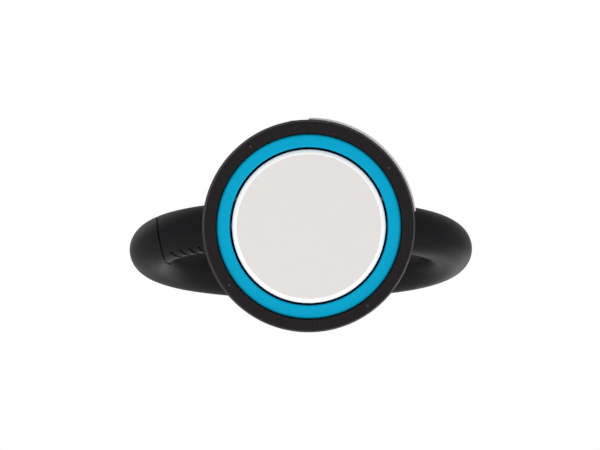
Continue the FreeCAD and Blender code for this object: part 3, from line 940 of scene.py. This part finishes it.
@dataclass
class Locks:
    """Two coloured lock buttons, each with a grooved thumb face and a nose at its back."""

    grooves: int = 4
    groove_pitch: float = 1.9
    groove_depth: float = 0.3
    groove_width: float = 0.7
    nose_half_width: float = 1.4
    nose_thick: float = 1.2
    nose_round: float = 0.1
    nose_bite: float = 0.5
    edge_round: float = 0.22
    length: float = 11.0
    coil_radius: float = 0.75
    wire_radius: float = 0.2
    coil_turns: int = 3

    def build(self) -> None:
        """Build and dress both buttons and their springs."""
        for place, side in (("front", -1), ("rear", 1)):
            self._button(place, side)
            for hand in ("left", "right"):
                self._spring(place, hand)

    def _button(self, place: str, side: int) -> None:
        """Make one lock button.

        Args:
            place: front or rear.
            side: -1 toward the user, 1 away.
        """
        low, high = box_mm("lock_button_" + place)
        reach = max(abs(low.y), abs(high.y))
        tip = min(abs(low.y), abs(high.y))
        back = box_mm("housing_shell")[1].x - self.length
        middle = (low.z + high.z) / 2
        rows = sorted((side * back, side * reach))
        button = block("lock_button_%s_moulding" % place, (low.x, rows[0], low.z),
                       (high.x, rows[1], high.z))
        heights = (low.z - PAST, high.z + PAST)
        cut(button, [hoop("thumb_face", (0, reach), heights)], operation="INTERSECT")
        slots = []
        for number in range(self.grooves):
            x = (number - (self.grooves - 1) / 2) * self.groove_pitch
            floor = math.sqrt(reach ** 2 - x ** 2) - self.groove_depth
            rows = sorted((side * floor, side * (reach + PAST)))
            slots.append(block("groove", (x - self.groove_width / 2, rows[0], heights[0]),
                               (x + self.groove_width / 2, rows[1], heights[1])))
        cut(button, slots)
        soften(button, self.edge_round)
        rows = sorted((side * tip, side * (back + self.nose_bite)))
        nose = block("nose", (-self.nose_half_width, rows[0], middle - self.nose_thick / 2),
                     (self.nose_half_width, rows[1], middle + self.nose_thick / 2),
                     self.nose_round)
        cut(button, [nose], operation="UNION")
        dress(button, Finish.BLUE_ABS, "lock_" + place, ["lock_button_" + place])

    def _spring(self, place: str, hand: str) -> None:
        """Coil behind a button, which gives way as the button is pressed.

        Args:
            place: front or rear.
            hand: left or right.
        """
        node = "lock_spring_%s_%s" % (place, hand)
        low, high = box_mm(node)
        spring = coil(node + "_coil", self.coil_radius, self.wire_radius, high.y - low.y,
                      self.coil_turns)
        outer = Vector(((low.x + high.x) / 2, low.y, (low.z + high.z) / 2)) * MM
        spring.data.transform(Matrix.Translation(outer) @ Matrix.Rotation(-math.pi / 2, 4, "X"))
        dress(spring, Finish.SPRING_STEEL, None, [node])
        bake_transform(spring)


@dataclass
class Crown:
    """The cap over the housing, its band, the neck, and the steel parts under it."""

    wall: float = 1.6
    top_thick: float = 2.5
    shoulder: float = 3.0
    rim_round: float = 0.3
    band_depth: float = 0.8
    band_round: float = 0.2

    def build(self) -> None:
        """Build and dress the crown and what it carries."""
        low, high = box_mm("crown")
        band_low, band_high = box_mm("crown_band")
        radius = high.x
        inner = radius - self.wall
        groove = radius - self.band_depth
        outline = [
            (0, high.z), (radius, high.z), (radius, band_high.z), (groove, band_high.z),
            (groove, band_low.z), (radius, band_low.z), (radius, low.z), (inner, low.z),
            (inner, high.z - self.top_thick), (0, high.z - self.top_thick)]
        crown = lathe("crown_moulding", outline, {1: self.shoulder, 6: self.rim_round},
                      closed=False, segments=8)
        dress(crown, Finish.SHELL_ABS, "handle", ["crown"])
        band = hoop("crown_band_ring", (groove, band_high.x), (band_low.z, band_high.z),
                    edge=self.band_round)
        dress(band, Finish.BLUE_ABS, "handle", ["crown_band"])
        dress_node("neck", Finish.SHELL_ABS)
        dress_node("yoke_bridge", Finish.FLAT_STEEL)
        for place in ("front", "rear"):
            dress_node("latch_hook_" + place, Finish.FLAT_STEEL)
        for side in ("left", "right"):
            dress_node("handle_screw_" + side, Finish.PIN_STEEL)
            dress_node("leg_tube_" + side, Finish.LEG_STEEL)
            dress_node("bearing_block_" + side, Finish.GREY_NYLON)


@dataclass
class LoopHandle:
    """Soft-touch loop: an oval of four arcs, raked to the user, with a grooved grip."""

    half_width: float = 50.6
    half_height: float = 39.0
    side_radius: float = 34.0
    tube_radius: float = 7.75
    rake_deg: float = 16.2
    back: float = 1.3
    neck_floor: float = 1.0
    seam_x: float = 46.4
    seam_turn: float = -9.0
    seam_tilt: float = -5.0
    seam_width: float = 0.5
    seam_depth: float = 0.5
    inner_x: float = 26.0
    grooves: int = 5
    groove_lead: float = 5.5
    groove_pitch: float = 2.9
    groove_width: float = 1.1
    groove_depth: float = 0.45
    groove_from: float = 6.6
    edge_round: float = 0.2
    around: int = 96
    step_mm: float = 1.3

    side_x: float = field(init=False)
    flat_radius: float = field(init=False)
    join: float = field(init=False)
    middle: float = field(init=False)
    foot: float = field(init=False)

    def __post_init__(self) -> None:
        """Work out the oval from its driving sizes and the frame."""
        self.side_x = self.half_width - self.side_radius
        self.flat_radius = ((self.side_x ** 2 + self.half_height ** 2 - self.side_radius ** 2)
                            / (2 * (self.half_height - self.side_radius)))
        self.join = math.degrees(math.atan2(self.flat_radius - self.half_height, self.side_x))
        self.foot = box_mm("crown")[1].z
        self.middle = self.tube_radius + self.neck_floor + self.half_height

    def build(self) -> None:
        """Build and dress the loop and its grip."""
        loop = self._ring("loop_overmould", self.tube_radius)
        groove = self._zone("seam_groove", self.seam_width)
        cut(groove, [self._ring("groove_floor", self.tube_radius - self.seam_depth)])
        cut(loop, [groove, self._zone("grip_gap")], weighted=False)
        self._finish(loop, "handle_loop")
        grip = self._ring("ribbed_grip_sleeve", self.tube_radius)
        cut(grip, [self._zone("grip_stretch")], weighted=False, operation="INTERSECT")
        cut(grip, self._grooves(), weighted=False)
        self._finish(grip, "ribbed_grip")
        dress_node("handle_core", Finish.GREY_NYLON)

    def _centre(self, bend: str) -> Tuple[Vector, float]:
        """Give an arc's centre and radius in the loop's upright plane.

        Args:
            bend: right, top, left or low.

        Returns:
            The centre and the radius in millimetres.
        """
        flat = self.flat_radius - self.half_height
        places = {
            "right": (Vector((self.side_x, 0, self.middle)), self.side_radius),
            "top": (Vector((0, 0, self.middle - flat)), self.flat_radius),
            "left": (Vector((-self.side_x, 0, self.middle)), self.side_radius),
            "low": (Vector((0, 0, self.middle + flat)), self.flat_radius)}
        return places[bend]

    def _ring(self, name: str, tube: float) -> Piece:
        """Spin a round section along the four arcs, one after the other, into a closed loop.

        Args:
            name: the piece's name.
            tube: radius of the section in millimetres.

        Returns:
            The closed loop, still upright.
        """
        clear_selection()
        bends = [("right", -self.join, self.join), ("top", self.join, 180 - self.join),
                 ("left", 180 - self.join, 180 + self.join),
                 ("low", 180 + self.join, 360 - self.join)]
        centre, radius = self._centre("right")
        t = math.radians(-self.join)
        start = centre + radius * Vector((math.cos(t), 0, math.sin(t)))
        bpy.ops.mesh.primitive_circle_add(
            vertices=self.around, radius=tube * MM, location=start * MM,
            rotation=(0, -t, 0))
        bpy.ops.object.transform_apply()
        obj = begin(name)
        bpy.ops.mesh.select_all(action="SELECT")
        for bend, from_deg, to_deg in bends:
            centre, radius = self._centre(bend)
            sweep = math.radians(to_deg - from_deg)
            steps = int(sweep * radius / self.step_mm)
            bpy.ops.mesh.spin(steps=steps, angle=sweep, center=centre * MM, axis=(0, 1, 0))
        return close_piece(obj, smooth_deg=40.0, weighted=False)

    def _zone(self, name: str, grow: float = 0.0) -> Piece:
        """Make the block that picks the sleeve's stretch, with its seam end turned a little.

        Args:
            name: its name.
            grow: how far it goes past the seam, in millimetres.

        Returns:
            The block, in the loop's upright place.
        """
        half = 2 * self.tube_radius
        end = self.seam_x + grow
        pivot = self._low_path(self.seam_x)[0]
        zone = block(name, (self.inner_x, -half, -half), (end, half, self.middle))
        bpy.ops.object.mode_set(mode="EDIT")
        for y in (-half, half):
            for z in (-half, self.middle):
                corner = Vector((end, y, z)) * MM
                pick(zone, lambda co: (co - corner).length < SAME)
                shift = (math.tan(math.radians(self.seam_tilt)) * (z - pivot)
                         - math.tan(math.radians(self.seam_turn)) * y)
                bpy.ops.transform.translate(value=(shift * MM, 0, 0))
        bpy.ops.object.mode_set(mode="OBJECT")
        return zone

    def _low_path(self, x: float) -> Tuple[float, float]:
        """Give the height of the loop's lower centre line at x, and its lean.

        Args:
            x: distance from the middle in millimetres.

        Returns:
            The height in the loop's upright plane and the lean in radians.
        """
        at_join = self.side_x + self.side_radius * math.cos(math.radians(self.join))
        centre, radius = self._centre("right" if x > at_join else "low")
        fall = math.sqrt(radius ** 2 - (x - centre.x) ** 2)
        return centre.z - fall, math.atan2(x - centre.x, fall)

    def _grooves(self) -> List[Piece]:
        """Make the slabs that cut the short grooves on the sleeve's user side.

        Returns:
            The slabs, which end at the grooves' floor.
        """
        slabs = []
        reach = 2 * self.tube_radius
        half = self.groove_width / 2
        for number in range(self.grooves):
            x = self.seam_x - self.groove_lead - self.groove_pitch * number
            height, lean = self._low_path(x)
            slab = block("grip_groove", (-half, -reach, -reach),
                         (half, -self.groove_from, reach))
            turn = Matrix.Rotation(-lean, 4, "Y")
            slab.data.transform(Matrix.Translation((x * MM, 0, height * MM)) @ turn)
            cut(slab, [self._ring("groove_floor", self.tube_radius - self.groove_depth)],
                weighted=False)
            slabs.append(slab)
        return slabs

    def _finish(self, obj: Piece, node: str) -> None:
        """Round a piece's cut edges, lean it on the crown and dress it.

        Args:
            obj: the upright piece.
            node: the CAD node that it stands for.
        """
        soften(obj, self.edge_round)
        lean = Matrix.Rotation(math.radians(self.rake_deg), 4, "X")
        stand = Matrix.Translation((0, self.back * MM, self.foot * MM))
        obj.data.transform(stand @ lean)
        dress(obj, Finish.LOOP_TPE, "handle", [node])


# ---- studio

@dataclass
class Studio:
    """Pale floor, soft lamps above and below, and the camera under the foot."""

    distance: float = 0.700
    lens: float = 144.0
    sensor: float = 36.0
    clip: float = 0.01
    side_deg: float = 1.35
    rise_deg: float = 1.8
    aim_x_mm: float = 2.64
    aim_y_mm: float = 0.46
    tent_horizon: float = 1.38
    tent_pole: float = 0.52
    tent_lean: float = -0.35
    floor_size: float = 4.0
    floor_drop: float = 0.0004
    floor_solid: float = 0.25
    floor_end: float = 1.5
    lamp_aim: float = 0.05

    def build(self) -> None:
        """Build the studio."""
        self._floor()
        self._world()
        self._lamps()
        self._camera()

    def _floor(self) -> None:
        """Floor that is seen from above only, so that the foot can be seen from below."""
        clear_selection()
        bpy.ops.mesh.primitive_plane_add(size=self.floor_size, location=(0, 0, -self.floor_drop))
        bpy.ops.object.transform_apply()
        floor = bpy.context.object
        floor.name = "studio_floor"
        material, tree, out = blank_material("pale_studio_floor")
        pale = add_node(tree, "ShaderNodeBsdfDiffuse", {"Color": linear("#f2f2f1")})
        clear = add_node(tree, "ShaderNodeBsdfTransparent")
        rays = add_node(tree, "ShaderNodeLightPath")
        side = add_node(tree, "ShaderNodeNewGeometry")
        front = add_node(tree, "ShaderNodeMath", {0: 1.0, 1: side.outputs["Backfacing"]},
                         operation="SUBTRACT")
        seen = add_node(tree, "ShaderNodeMath", {
            0: rays.outputs["Is Camera Ray"], 1: front.outputs[0]}, operation="MULTIPLY")
        # the floor melts into the white surround, so that it has no edge
        place = add_node(tree, "ShaderNodeTexCoord").outputs["Object"]
        reach = add_node(tree, "ShaderNodeVectorMath", {0: place}, operation="LENGTH")
        fade = add_node(tree, "ShaderNodeMapRange", {
            0: reach.outputs["Value"], 1: self.floor_solid, 2: self.floor_end, 3: 1.0, 4: 0.0},
            interpolation_type="SMOOTHSTEP")
        share = add_node(tree, "ShaderNodeMath", {
            0: seen.outputs[0], 1: fade.outputs[0]}, operation="MULTIPLY")
        mix = add_node(tree, "ShaderNodeMixShader", {
            0: share.outputs[0], 1: clear.outputs[0], 2: pale.outputs[0]})
        tree.links.new(mix.outputs[0], out.inputs[0])
        floor.data.materials.append(material)

    def _world(self) -> None:
        """Light tent: brighter toward the horizon, plain white where it is seen or mirrored."""
        world = bpy.data.worlds.new("studio_world")
        bpy.context.scene.world = world
        world.use_nodes = True
        tree = world.node_tree
        tree.nodes.clear()
        out = add_node(tree, "ShaderNodeOutputWorld")
        rays = add_node(tree, "ShaderNodeLightPath")
        through = add_node(tree, "ShaderNodeMath", {
            0: rays.outputs["Is Glossy Ray"], 1: rays.outputs["Is Transmission Ray"]},
            operation="MAXIMUM")
        seen = add_node(tree, "ShaderNodeMath", {
            0: rays.outputs["Is Camera Ray"], 1: through.outputs[0]}, operation="MAXIMUM")
        way = add_node(tree, "ShaderNodeTexCoord").outputs["Generated"]
        split = add_node(tree, "ShaderNodeSeparateXYZ", {0: way})
        steep = add_node(tree, "ShaderNodeMath", {0: split.outputs[2]}, operation="ABSOLUTE")
        level = add_node(tree, "ShaderNodeMapRange", {
            0: steep.outputs[0], 3: self.tent_horizon, 4: self.tent_pole})
        lean = add_node(tree, "ShaderNodeMath", {
            0: split.outputs[1], 1: self.tent_lean, 2: 1.0}, operation="MULTIPLY_ADD")
        light = add_node(tree, "ShaderNodeMath", {
            0: level.outputs[0], 1: lean.outputs[0]}, operation="MULTIPLY")
        strength = add_node(tree, "ShaderNodeMix", {
            0: seen.outputs[0], 2: light.outputs[0], 3: 1.0})
        tent = add_node(tree, "ShaderNodeBackground", {
            "Color": (1, 1, 1, 1), "Strength": strength.outputs[0]})
        tree.links.new(tent.outputs[0], out.inputs[0])

    def _lamp(self, name: str, place: Sequence[float], size: float, power: float) -> None:
        """Add a square softbox aimed at the stamp.

        Args:
            name: its name.
            place: where it hangs, in metres.
            size: side length in metres.
            power: watts.
        """
        data = bpy.data.lights.new(name, "AREA")
        data.shape = "SQUARE"
        data.size = size
        data.energy = power
        lamp = bpy.data.objects.new(name, data)
        bpy.context.scene.collection.objects.link(lamp)
        lamp.location = place
        aim = Vector((0, 0, self.lamp_aim)) - lamp.location
        lamp.rotation_euler = aim.to_track_quat("-Z", "Y").to_euler()

    def _lamps(self) -> None:
        """Hang the softboxes: from below for the foot, from above for the handle."""
        self._lamp("under_key", (0.35, 0.65, -0.70), size=0.3, power=0.8)
        self._lamp("under_left", (0.8, -0.55, -0.35), size=0.4, power=2.2)
        self._lamp("under_right", (-0.8, -0.55, -0.35), size=0.4, power=2.2)
        self._lamp("top_key", (-0.6, -0.7, 1.0), size=0.8, power=4.0)
        self._lamp("top_fill", (0.8, 0.5, 0.8), size=0.8, power=2.0)

    def _camera(self) -> None:
        """Place the camera under the foot, square to it but for a slight lean."""
        data = bpy.data.cameras.new("camera")
        data.lens = self.lens
        data.sensor_width = self.sensor
        data.clip_start = self.clip
        camera = bpy.data.objects.new("camera", data)
        bpy.context.scene.collection.objects.link(camera)
        side = math.tan(math.radians(self.side_deg)) * self.distance
        rise = math.tan(math.radians(self.rise_deg)) * self.distance
        camera.location = (side, rise, -self.distance)
        aim = Vector((self.aim_x_mm * MM, self.aim_y_mm * MM, 0)) - camera.location
        forward = aim.normalized()
        right = forward.cross(Vector((0, 1, 0))).normalized()
        up = right.cross(forward)
        turn = Matrix((right, up, -forward)).transposed()
        camera.rotation_euler = turn.to_euler()
        bpy.context.scene.camera = camera


def main() -> None:
    """Build every sub-assembly in order, then the studio."""
    logging.basicConfig(level=logging.INFO, format="%(name)s: %(message)s")
    for assembly in (Foot(), TextPlate(), Housing(), PadDrawer(), Locks(), Crown(),
                     LoopHandle(), Studio()):
        LOG.info("building %s", type(assembly).__name__)
        assembly.build()
    bpy.context.scene.view_settings.view_transform = "Standard"


if __name__ == "__main__":
    main()
